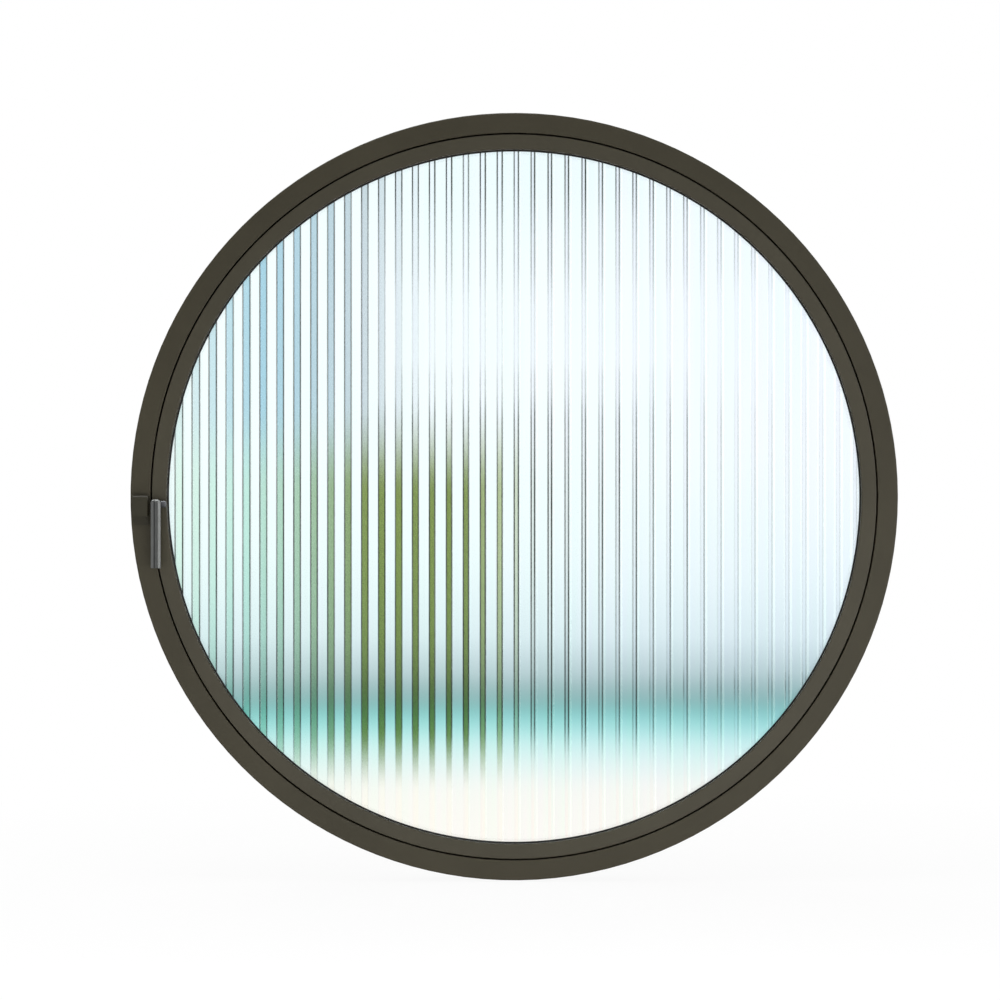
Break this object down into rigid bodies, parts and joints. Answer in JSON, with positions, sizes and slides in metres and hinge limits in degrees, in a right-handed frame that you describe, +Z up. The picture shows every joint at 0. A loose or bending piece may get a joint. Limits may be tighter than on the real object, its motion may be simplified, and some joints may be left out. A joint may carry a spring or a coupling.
{
  "type": "round pivot window",
  "caption": "Round metal window: fixed ring, opening sash with a reeded glass unit on upright pivots, and a lever handle with its keeper.",
  "frame": {"origin": "centre of the fixed ring, at the middle of its depth", "axes": "+X to the right as seen from the room, +Y out of the room, +Z up"},
  "size_m": [1.1998, 0.0909, 1.2],
  "materials": {
    "frame_coat": "satin dark bronze powder coat",
    "sash_coat": "satin dark bronze powder coat",
    "keeper_coat": "satin dark bronze powder coat",
    "seal_rubber": "matt black seal",
    "fluted_glass": "clear glass with upright reeds",
    "float_glass": "clear float glass",
    "spacer_metal": "mill",
    "hardware_steel": "zinc plated",
    "tongue_steel": "satin",
    "bush_nylon": "black nylon",
    "handle_coat": "satin dark grey coat"
  },
  "bodies": {
    "frame": {"outer_frame": "frame_coat", "stop_strip": "frame_coat", "stop_seal": "seal_rubber", "stop_screws": "hardware_steel", "upper_pivot_housing": "hardware_steel", "lower_pivot_housing": "hardware_steel", "upper_pivot_bush": "bush_nylon", "lower_pivot_bush": "bush_nylon", "housing_screws": "hardware_steel", "keeper": "keeper_coat", "keeper_screws": "hardware_steel"},
    "sash": {"sash_ring": "sash_coat", "perimeter_seal": "seal_rubber", "room_gasket": "seal_rubber", "reeded_pane": "fluted_glass", "spacer_bar": "spacer_metal", "edge_sealant": "seal_rubber", "clear_pane": "float_glass", "outer_gasket": "seal_rubber", "setting_blocks": "bush_nylon", "glazing_ring": "sash_coat", "ring_screws": "hardware_steel", "upper_pivot_block": "hardware_steel", "lower_pivot_block": "hardware_steel", "upper_pivot_pin": "hardware_steel", "lower_pivot_pin": "hardware_steel", "block_screws": "hardware_steel", "thrust_washers": "bush_nylon", "handle_base": "handle_coat", "base_screws": "hardware_steel", "handle_washer": "bush_nylon"},
    "handle": {"handle_lever": "handle_coat", "handle_pin": "hardware_steel", "cam_tongue": "tongue_steel"}
  },
  "joints": [
    {"name": "sash_pivot", "type": "hinge", "parent": "frame", "child": "sash", "pos_m": [0, -0.005, 0], "axis": [0, 0, 1], "range_deg": [0, 85]},
    {"name": "handle_turn", "type": "hinge", "parent": "sash", "child": "handle", "pos_m": [-0.55807, -0.045, -0.012], "axis": [0, -1, 0], "range_deg": [0, 180]}
  ]
}
